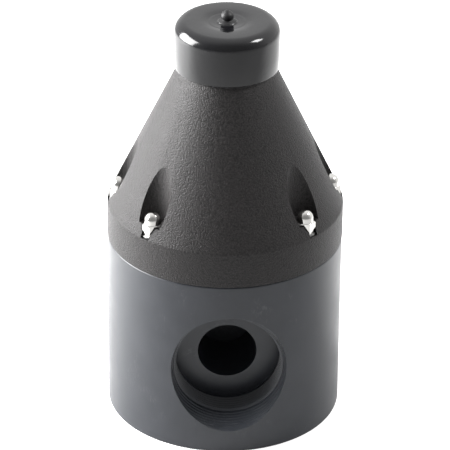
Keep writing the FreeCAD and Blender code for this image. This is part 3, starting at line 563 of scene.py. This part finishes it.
for name in ("valve_stem", "retainer_screw"):
    nodes[name].material_slots[0].material = steel
for name in ("poppet", "seal_retainer"):
    nodes[name].material_slots[0].material = grey_pvc
seal_low, seal_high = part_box("seat_seal")
seal_radius = seal_high.x / MM
seal_foot, seal_top = seal_low.z / MM, seal_high.z / MM
seal_bore = 12.2
face_seal = turn_piece("poppet_face_seal", [
    (seal_bore, seal_foot, 0.15), (seal_radius, seal_foot, 0.3), (seal_radius, seal_top, 0.3),
    (seal_bore, seal_top, 0.15), (seal_bore, seal_foot)], steps=120)
face_seal = clean_up(face_seal, smooth=40, merge=0.005)
coat(face_seal, black_rubber)
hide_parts("seat_seal")
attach(face_seal, "stem")


# Diaphragm: moulded black rubber with a rolled wall, its rim clamped between the body and the
# bonnet. A PVC retainer below and a moulded polypropylene piston above clamp its middle on
# the stem, under a washer and a nut of stainless steel.
web_low, web_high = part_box("diaphragm")
web_foot = web_low.z / MM
web_rim = web_high.x / MM
web_top = web_foot + 2
web_bore = 6.05
roll_height = 104.0
roll_middle = 40.9
roll_inside = 1.55
roll_outside = 2.95
inner_wall = (roll_middle - roll_outside, roll_middle - roll_inside)
outer_wall = (roll_middle + roll_inside, roll_middle + roll_outside)
diaphragm = turn_piece("rolled_diaphragm", [
    (web_bore, web_foot), (inner_wall[1], web_foot, 0.9), (inner_wall[1], roll_height),
    *arc(roll_middle, roll_height, roll_inside, 180, 0, 10)[1:-1], (outer_wall[0], roll_height),
    (outer_wall[0], bar_height - rim_depth, 0.4), (web_rim, bar_height - rim_depth, 0.3),
    (web_rim, bar_height, 0.3), (outer_wall[1], bar_height, 0.5), (outer_wall[1], roll_height),
    *arc(roll_middle, roll_height, roll_outside, 0, 180, 14)[1:-1], (inner_wall[0], roll_height),
    (inner_wall[0], web_top, 0.8), (web_bore, web_top), (web_bore, web_foot)], steps=160)
diaphragm = clean_up(diaphragm, smooth=40, merge=0.005)
coat(diaphragm, black_rubber)
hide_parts("diaphragm")
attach(diaphragm, "housing")
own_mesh(diaphragm)

black_moulding, tree, shader = new_finish(
    "Moulded black polypropylene", 0.5, Specular_IOR_Level=0.27)
uneven = use_group(tree, mottle, Patch_size=0.005, Grain_size=0.0008, Seed=2.0)
rubs = use_group(tree, scuffs, Size=0.01, Amount=0.4, Seed=7.0)
tone = blend_colours(tree, spread_range(tree, uneven.outputs["Grain"], 0, 1),
                     (0.0030, 0.0026, 0.0028), (0.026, 0.0235, 0.0235))
tone = blend_colours(tree, rubs.outputs["Mask"], tone, (0.05, 0.048, 0.048))
tree.links.new(tone, shader.inputs["Base Color"])
dull = spread_range(tree, uneven.outputs["Grain"], 0.36, 0.56)
dull = calculate(tree, "ADD", dull, calculate(tree, "MULTIPLY", rubs.outputs["Mask"], 0.15))
tree.links.new(dull, shader.inputs["Roughness"])
raise_surface(tree, shader, uneven.outputs["Grain"], 0.0005)

nodes["piston"].material_slots[0].material = black_moulding
nodes["diaphragm_retainer"].material_slots[0].material = grey_pvc
for name in ("stem_washer", "stem_nut"):
    nodes[name].material_slots[0].material = steel


# Set spring: a coil of round spring steel wire, its ends ground flat, between a washer on the
# piston and a stainless button. It is cut at mid height into two halves.
coil_low, coil_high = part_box("set_spring")
coil_foot = coil_low.z / MM
coil_top = coil_high.z / MM
coil_rim = coil_high.x / MM
wire_radius = 2.75
coil_turns = 6.5
coil_half = (coil_foot + coil_top) / 2
stem_stroke = 6.0
screw_stroke = 9.5
start_fresh()
bpy.ops.mesh.primitive_circle_add(
    vertices=20, radius=wire_radius * MM, rotation=(math.pi / 2, 0, 0),
    location=((coil_rim - wire_radius) * MM, 0, coil_foot * MM))
bpy.ops.object.transform_apply(location=True, rotation=True, scale=True)
coil = name_piece("set_spring_lower")
winding = coil.modifiers.new("winding", "SCREW")
winding.axis = "Z"
winding.angle = math.pi
winding.steps = 30
winding.render_steps = 30
winding.screw_offset = (coil_top - coil_foot) / coil_turns / 2 * MM
winding.iterations = round(coil_turns * 2)
winding.use_merge_vertices = True
winding.merge_threshold = 0.001 * MM
bpy.ops.object.modifier_apply(modifier=winding.name)
bpy.ops.object.mode_set(mode="EDIT")
bpy.ops.mesh.select_mode(type="EDGE")
bpy.ops.mesh.select_all(action="SELECT")
bpy.ops.mesh.remove_doubles(threshold=0.001 * MM)
bpy.ops.mesh.fill_holes(sides=0)
bpy.ops.mesh.select_all(action="SELECT")
bpy.ops.mesh.normals_make_consistent(inside=False)
bpy.ops.object.mode_set(mode="OBJECT")


def keep_between(piece, low, high):
    """Cut a piece off flat below one height and above another, in millimetres."""
    take_in_hand(piece)
    bpy.ops.object.mode_set(mode="EDIT")
    bpy.ops.mesh.select_mode(type="EDGE")
    for height, way in ((low, -1), (high, 1)):
        bpy.ops.mesh.select_all(action="SELECT")
        bpy.ops.mesh.bisect(plane_co=(0, 0, height * MM), plane_no=(0, 0, way),
                            use_fill=True, clear_outer=True, threshold=0.0001 * MM)
    bpy.ops.mesh.select_all(action="SELECT")
    bpy.ops.mesh.normals_make_consistent(inside=False)
    bpy.ops.object.mode_set(mode="OBJECT")
    bpy.ops.object.shade_smooth_by_angle(angle=math.radians(40))
    return piece


spring_steel = bare_metal("Spring steel wire", 0.34, patch_size=0.005, seed=31.0,
                          tones=((0.30, 0.30, 0.32), (0.44, 0.44, 0.45)),
                          shine=(0.28, 0.44), height=0.00001)
coat(coil, spring_steel)
upper_coil = coil.copy()
upper_coil.data = coil.data.copy()
upper_coil.name = "set_spring_upper"
bpy.context.scene.collection.objects.link(upper_coil)
coil = keep_between(coil, coil_foot, coil_half)
upper_coil = keep_between(upper_coil, coil_half, coil_top)
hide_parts("set_spring")
for half, joint, stroke in ((coil, "stem_lift", stem_stroke),
                            (upper_coil, "adjuster_travel", screw_stroke)):
    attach(half, "housing")
    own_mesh(half)
for name in ("spring_washer", "spring_button"):
    nodes[name].material_slots[0].material = steel


# Bonnet: a glass-filled black polypropylene moulding. Its bolting flange has six notched seats
# for the nuts, and above each a tapered pocket lets a socket wrench down the cone. A collar at
# the top keeps the lock nut, and the dust cap grips it.
bonnet_low, bonnet_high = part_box("bonnet")
flange_radius = bonnet_high.x / MM
rim_height = bonnet_high.z / MM
foot_height = bonnet_low.z / MM
flange_top = 121.5
neck_foot = 200.5
neck_radius = 26.2
collar_floor = 195
pocket_floor = 128.2
pocket_radius = 7.7
seat_radius = 5.8
draft = 0.102
pocket_height = 42
notch_width = 2.8
notch_reach = 14
clearance_radius = 2.75
foot_bore = 44.2
spring_bore = 36.5
step_height = 118.5
collar_radius = 20.5
bushing_bore = 10.05
web_underside = 183
cone_bore_foot = 162.48
cone_bore_top = 26.757
flange_edge = 0.6
neck_edge = 0.5
cone_slope = (flange_radius - neck_radius) / (neck_foot - flange_top)

bonnet = turn_piece("moulded_bonnet", [
    (foot_bore, foot_height), (flange_radius, foot_height, flange_edge),
    (flange_radius, foot_height + 2 * flange_edge), (flange_radius, flange_top - 2 * flange_edge),
    (flange_radius, flange_top, flange_edge),
    (flange_radius - round(1.4 * cone_slope, 4), flange_top + 1.4),
    (neck_radius + round(cone_slope, 4), neck_foot - 1.0), (neck_radius, neck_foot, neck_edge),
    (neck_radius, rim_height, neck_edge), (collar_radius, rim_height, neck_edge),
    (collar_radius, collar_floor, neck_edge), (bushing_bore, collar_floor),
    (bushing_bore, web_underside), (cone_bore_top, web_underside), (spring_bore, cone_bore_foot),
    (spring_bore, step_height), (foot_bore, step_height), (foot_bore, foot_height)], steps=256)
for turn in stud_places.values():
    across, back = on_stud_circle(turn)
    pocket_top = pocket_floor + pocket_height
    bonnet = combine(bonnet, drill(
        "socket_pocket", pocket_radius, (across, back, pocket_floor), (across, back, pocket_top),
        96, pocket_radius + pocket_height * draft), "DIFFERENCE")
    bonnet = combine(bonnet, drill(
        "nut_seat", seat_radius, (across, back, flange_top), (across, back, pocket_floor + 1), 64),
        "DIFFERENCE")
    start_fresh()
    bpy.ops.mesh.primitive_cube_add(size=MM, location=(0, 0, 0))
    notch = name_piece("nut_notch")
    for is_side, shift in ((lambda at: at.x > 0.3, (notch_reach, 0, 0)),
                           (lambda at: at.y > 0.3, (0, notch_width - 0.5, 0)),
                           (lambda at: at.y < -0.3, (0, 0.5 - notch_width, 0)),
                           (lambda at: at.z > 0.3, (0, 0, pocket_floor - flange_top))):
        pick(notch, "polygons", is_side)
        bpy.ops.transform.translate(value=[step * MM for step in shift])
    bpy.ops.object.mode_set(mode="OBJECT")
    notch = stand(notch, (0, 0, math.radians(turn)), (across, back, flange_top + 0.5))
    bonnet = combine(bonnet, notch, "DIFFERENCE")
    bonnet = combine(bonnet, drill(
        "stud_clearance", clearance_radius, (across, back, foot_height - 1),
        (across, back, flange_top + 1), 32), "DIFFERENCE")
bonnet = clean_up(bonnet)


def on_pocket_rim(at):
    """Whether a point lies where a socket pocket's wall meets the cone."""
    cone = flange_radius - (at.z - flange_top) * cone_slope
    if at.z < pocket_floor + 0.3 or abs(math.hypot(at.x, at.y) - cone) > 0.08:
        return False
    wall = pocket_radius + (at.z - pocket_floor) * draft
    places = [Vector(on_stud_circle(turn)) for turn in stud_places.values()]
    return any(abs((at.xy - spot).length - wall) < 0.08 for spot in places)


bonnet = break_edges(bonnet, 0.35, on_pocket_rim)
bpy.ops.object.shade_smooth_by_angle(angle=math.radians(35))

coat(bonnet, black_moulding)
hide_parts("bonnet")
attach(bonnet, "housing")


# Adjusting screw: a stainless hexagon head screw that sets the spring through the web of the
# bonnet, where a brass bushing is moulded in. A lock nut of the same steel holds its setting.
screw_low, screw_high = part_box("adjusting_screw")
screw_foot = screw_low.z / MM
screw_top = screw_high.z / MM
hexagon_flats = 19.05
hexagon_corner = hexagon_flats / math.sqrt(3)
head_foot = 212.9
screw_radius = 6.35
screw_pitch = INCH / 13
point_radius = 4.8
blank_radius = hexagon_corner + 0.02
nut_base, nut_crown = [corner.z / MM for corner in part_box("lock_nut")]


def mill_hexagon(name, blank, flats, low, high):
    """Mill a turned blank to a hexagon: only what is in both stays."""
    bar = drill(name + "_bar", flats / math.sqrt(3), (0, 0, low - 1), (0, 0, high + 1), 6)
    return combine(blank, bar, "INTERSECT")


head = turn_piece("screw_head", [
    (0, head_foot), (9.3, head_foot), (blank_radius, head_foot + 0.9),
    (blank_radius, screw_top - 1.0), (9.2, screw_top), (8.9, screw_top), (0, screw_top - 0.15),
    (0, head_foot)], steps=96)
head = mill_hexagon("screw_head", head, hexagon_flats, head_foot, screw_top)
screw = thread("hex_adjusting_screw", screw_radius - 1.15, 1.1, screw_pitch, screw_foot + 2.9,
               head_foot + 0.4, 72)
screw = combine(screw, turn_piece("thread_ends", [
    (0, screw_foot + 2.5), (4.6, screw_foot + 2.5), (6.6, screw_foot + 4.5), (6.6, head_foot - 2.6),
    (5.5, head_foot - 1.5), (5.5, head_foot + 0.5), (0, head_foot + 0.5),
    (0, screw_foot + 2.5)], steps=72), "INTERSECT")
screw = combine(screw, turn_piece("plain_point", [
    (0, screw_foot), (4.4, screw_foot), (point_radius, screw_foot + 0.4),
    (point_radius, screw_foot + 3.3), (0, screw_foot + 3.3), (0, screw_foot)], steps=72), "UNION")
screw = combine(screw, head, "UNION")
screw = clean_up(screw, smooth=30, merge=0.01)
screw.name = "hex_adjusting_screw"
coat(screw, steel)
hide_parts("adjusting_screw")
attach(screw, "adjusting_screw")

lock_nut = turn_piece("hex_lock_nut", [
    (6.7, nut_base), (9.2, nut_base), (blank_radius, nut_base + 1.0),
    (blank_radius, nut_crown - 1.0), (9.2, nut_crown), (7.3, nut_crown),
    (6.7, nut_crown - 0.7), (6.7, nut_base)], steps=96)
lock_nut = mill_hexagon("hex_lock_nut", lock_nut, hexagon_flats, nut_base, nut_crown)
lock_nut = clean_up(lock_nut, smooth=30, merge=0.01)
coat(lock_nut, steel)
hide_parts("lock_nut")
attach(lock_nut, "lock_nut")

brass = bare_metal("Turned brass", 0.3, patch_size=0.004, seed=41.0,
                   tones=((0.56, 0.40, 0.16), (0.66, 0.49, 0.21)),
                   shine=(0.24, 0.38), height=0.000008)
nodes["screw_bushing"].material_slots[0].material = brass


# Cap nuts: stainless acorn nuts, turned with a domed end and milled to a hexagon, then
# polished. Each sits on a plain washer in its seat.
nut_low, nut_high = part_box("cap_nut_2")
nut_foot = nut_low.z / MM
nut_tip = nut_high.z / MM
nut_flats = 9.525
nut_corner = nut_flats / math.sqrt(3)
nut_bore = 2.45
nut_blind_end = nut_tip - 3.2
hexagon_top = 128.4
dome_height = 130.9
dome_radius = 4.3
nut_turns = {1: 22, 2: 5, 3: 20, 4: 10, 5: 48, 6: 40}

cap_nut = turn_piece("cap_nut", [
    (nut_bore, nut_foot), (nut_corner - 0.5, nut_foot), (nut_corner + 0.02, nut_foot + 0.29),
    (nut_corner + 0.02, hexagon_top), (4.45, hexagon_top + 0.55, 0.15),
    *arc(0, dome_height, dome_radius, 0, 90, 10)[:-1], (0, nut_tip),
    (0, nut_blind_end), (nut_bore, nut_blind_end), (nut_bore, nut_foot)], steps=96)
cap_nut = mill_hexagon("cap_nut", cap_nut, nut_flats, nut_foot, nut_tip)
cap_nut = clean_up(cap_nut, smooth=30, merge=0.01)

polished_steel, tree, shader = new_finish("Polished stainless steel", 0.14, 1.0)
uneven = use_group(tree, mottle, Patch_size=0.003, Grain_size=0.0003, Seed=5.0)
rubs = use_group(tree, scuffs, Size=0.003, Amount=0.8, Seed=1.0)
tone = blend_colours(tree, rubs.outputs["Mask"], (0.60, 0.59, 0.57), (0.42, 0.41, 0.40))
tree.links.new(tone, shader.inputs["Base Color"])
dull = spread_range(tree, uneven.outputs["Patches"], 0.09, 0.19)
dull = calculate(tree, "ADD", dull, calculate(tree, "MULTIPLY", rubs.outputs["Mask"], 0.2))
tree.links.new(dull, shader.inputs["Roughness"])
raise_surface(tree, shader, uneven.outputs["Grain"], 0.000003)

washer_bore = 2.6
washer_radius = 5.55
washer = turn_piece("washer", [
    (washer_bore, flange_top), (washer_radius, flange_top, 0.2), (washer_radius, nut_foot, 0.25),
    (washer_bore, nut_foot, 0.1), (washer_bore, flange_top)], steps=72)
washer = clean_up(washer, smooth=30, merge=0.01)


def set_at(piece, name, turn, swing):
    """A copy of a piece with its own mesh, turned on its axis and set on the stud circle."""
    copy = piece.copy()
    copy.data = piece.data.copy()
    copy.name = name
    bpy.context.scene.collection.objects.link(copy)
    return stand(copy, (0, 0, math.radians(turn)), (*on_stud_circle(swing), 0))


# Washer steel: its roughness gives a dull shine, and its low tone is a painted shade for the shadow
# in the notched seats.
shaded_washer_steel = bare_metal("Dull washer steel", 0.5, patch_size=0.003, seed=15.0,
                        tones=((0.15, 0.15, 0.15), (0.24, 0.24, 0.235)),
                        shine=(0.42, 0.58), height=0.000008)

coat(cap_nut, polished_steel)
coat(washer, shaded_washer_steel)
for place, swing in stud_places.items():
    nut = set_at(cap_nut, "acorn_nut_" + str(place), nut_turns[place], swing)
    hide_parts("cap_nut_" + str(place))
    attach(nut, "housing")
    ring = set_at(washer, "flat_washer_" + str(place), 0, swing)
    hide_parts("washer_" + str(place))
    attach(ring, "housing")
    nodes["stud_" + str(place)].material_slots[0].material = steel
bpy.data.objects.remove(cap_nut)
bpy.data.objects.remove(washer)


# Dust cap: black vinyl, dip-moulded over the neck, so it is round at its rim and top and
# glossy all over. The drip left by the dip makes the small nib, by which it is pulled off.
cap_low, cap_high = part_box("dust_cap")
cap_radius = cap_high.x / MM
cap_rim = cap_low.z / MM
cap_tip = cap_high.z / MM
cap_inside = 26.3
cap_ceiling = 223.8
cap_top = 227.5
edge_radius = 6.35
nib_middle = 229.9
dish = [(15.0, 0.05), (12.0, 0.25), (10.6, 0.5), (9.8, 0.58), (9.0, 0.5), (8.2, 0.7), (7.4, 0.66),
        (6.2, 0.86), (5.5, 0.85), (5.1, 0.75), (4.9, 0.45), (4.4, 0.1)]
nib_foot = [(3.4, 0.35), (2.6, 0.9), (2.3, 1.3)]

dust_cap = turn_piece("dip_moulded_cap", [
    (cap_inside, cap_rim, 0.6), (cap_radius - 0.25, cap_rim, 0.9), (cap_radius - 0.02, cap_rim + 9),
    *arc(cap_radius - edge_radius, cap_top - edge_radius, edge_radius, 0, 90, 12),
    *[(across, cap_top - sink) for across, sink in dish],
    *[(across, cap_top + rise) for across, rise in nib_foot],
    *arc(0, nib_middle, 3.4, -20, 30, 6), (2.4, 232.0), (1.5, cap_tip - 0.55),
    (0.7, cap_tip - 0.12), (0, cap_tip), (0, cap_ceiling), (24.3, cap_ceiling), (25.8, 223.1),
    (cap_inside, 221.6), (cap_inside, cap_rim)], steps=192)
dust_cap = clean_up(dust_cap, smooth=50, merge=0.005)

glossy_vinyl, tree, shader = new_finish("Glossy black vinyl", 0.12, Specular_IOR_Level=0.42)
uneven = use_group(tree, mottle, Patch_size=0.012, Grain_size=0.0006, Seed=11.0)
rubs = use_group(tree, scuffs, Size=0.009, Amount=0.5, Seed=12.0)
tone = blend_colours(tree, rubs.outputs["Mask"], (0.006, 0.006, 0.007), (0.03, 0.03, 0.032))
tree.links.new(tone, shader.inputs["Base Color"])
dull = spread_range(tree, uneven.outputs["Patches"], 0.08, 0.16)
dull = calculate(tree, "ADD", dull, calculate(tree, "MULTIPLY", rubs.outputs["Mask"], 0.15))
axes = put(tree, "SeparateXYZ", (put(tree, "TexCoord").outputs["Object"], 0))
drip = put(tree, "MapRange", (distance_from_axis(tree, axes), "Value"), (0.0046, "From Min"),
           (0.0054, "From Max"), (0.5, "To Min"), (0.0, "To Max")).outputs[0]
tree.links.new(calculate(tree, "MAXIMUM", dull, drip), shader.inputs["Roughness"])
raise_surface(tree, shader, uneven.outputs["Patches"], 0.00012)
coat(dust_cap, glossy_vinyl)
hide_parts("dust_cap")
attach(dust_cap, "dust_cap")


# Photograph's view: a long lens, a little above and a touch to the left of the outlet port.
R = bar_radius * MM
camera_swing = math.radians(-3)
camera_rise = math.radians(28.75)
camera_roll = math.radians(0.64)
camera_reach = 30
orbit_height = 1.5
aim_height = 1.654
picture_width = 450
focal_pixels = 3504.2
camera = bpy.data.objects.new("camera", bpy.data.cameras.new("camera"))
bpy.context.scene.collection.objects.link(camera)
outward = Vector((math.sin(camera_swing) * math.cos(camera_rise),
                  -math.cos(camera_swing) * math.cos(camera_rise), math.sin(camera_rise)))
camera.location = Vector((0, 0, orbit_height * R)) + outward * camera_reach * R
aim = Vector((0, 0, aim_height * R)) - camera.location
camera.rotation_euler = (aim.to_track_quat("-Z", "Y").to_matrix().to_4x4()
                         @ Matrix.Rotation(camera_roll, 4, "Z")).to_euler()
camera.data.sensor_width = 36
camera.data.lens = focal_pixels / picture_width * camera.data.sensor_width
camera.data.clip_end = 10
bpy.context.scene.camera = camera
bpy.context.scene.view_settings.view_transform = "Standard"


# Floor and light: a white sweep under a large soft lamp on the left, with a weak one on
# the right, in a white room that is dim on the camera's side, as in a catalogue photograph.
start_fresh()
bpy.ops.mesh.primitive_plane_add(size=12, location=(0, 0, 0))
floor = name_piece("white_sweep")
white, tree, shader = new_finish("White sweep", 0.9, Specular_IOR_Level=0.2)
ray = put(tree, "LightPath")
mirrored = calculate(
    tree, "MAXIMUM", ray.outputs["Is Glossy Ray"], ray.outputs["Is Transmission Ray"])
# In reflections the floor is painted darker toward the camera's side, a painted shade for light
# that falls off toward the front; the camera itself sees it evenly white.
depth = put(tree, "SeparateXYZ", (put(tree, "TexCoord").outputs["Object"], 0)).outputs[1]
painted_falloff = put(tree, "MapRange", (depth, "Value"), (-0.17, "From Min"), (0.06, "From Max"),
             interpolation_type="SMOOTHSTEP").outputs[0]
shade = blend_colours(tree, painted_falloff, (0.5, 0.5, 0.5), (0.95, 0.95, 0.95))
shade = blend_colours(tree, mirrored, (0.45, 0.45, 0.45), shade)
shade = blend_colours(tree, ray.outputs["Is Camera Ray"], shade, (0.85, 0.85, 0.85))
tree.links.new(shade, shader.inputs["Base Color"])
shader.inputs["Emission Color"].default_value = (1, 1, 1, 1)
glow = calculate(tree, "MULTIPLY", ray.outputs["Is Camera Ray"], 0.5)
glow = calculate(tree, "ADD", glow, calculate(tree, "MULTIPLY", mirrored, 0.05))
tree.links.new(glow, shader.inputs["Emission Strength"])
coat(floor, white)


def soft_lamp(name, place, size, watts, target=(0, 0, 0.11)):
    """A square area lamp that faces the valve."""
    lamp = bpy.data.objects.new(name, bpy.data.lights.new(name, "AREA"))
    bpy.context.scene.collection.objects.link(lamp)
    lamp.data.size = size
    lamp.data.energy = watts
    lamp.location = place
    lamp.rotation_euler = (Vector(target) - Vector(place)).to_track_quat("-Z", "Y").to_euler()
    return lamp


soft_lamp("key_left", (-0.95, 0.17, 0.48), size=0.8, watts=50)
soft_lamp("fill_right", (0.67, -0.04, 0.93), size=0.27, watts=5.5)

world = bpy.data.worlds.new("studio")
bpy.context.scene.world = world
world.use_nodes = True
tree = world.node_tree
tree.nodes.clear()
toward = put(tree, "SeparateXYZ", (put(tree, "TexCoord").outputs["Generated"], 0))
strength = put(tree, "MapRange", (toward.outputs[1], "Value"), (-0.8, "From Min"),
               (0.3, "From Max"), (0.33, "To Min"), (1.3, "To Max"),
               interpolation_type="SMOOTHSTEP").outputs[0]
room = put(tree, "Background", ((1, 1, 1, 1), "Color"), (strength, "Strength"))
put(tree, "OutputWorld", (room.outputs[0], 0))

bpy.context.view_layer.update()
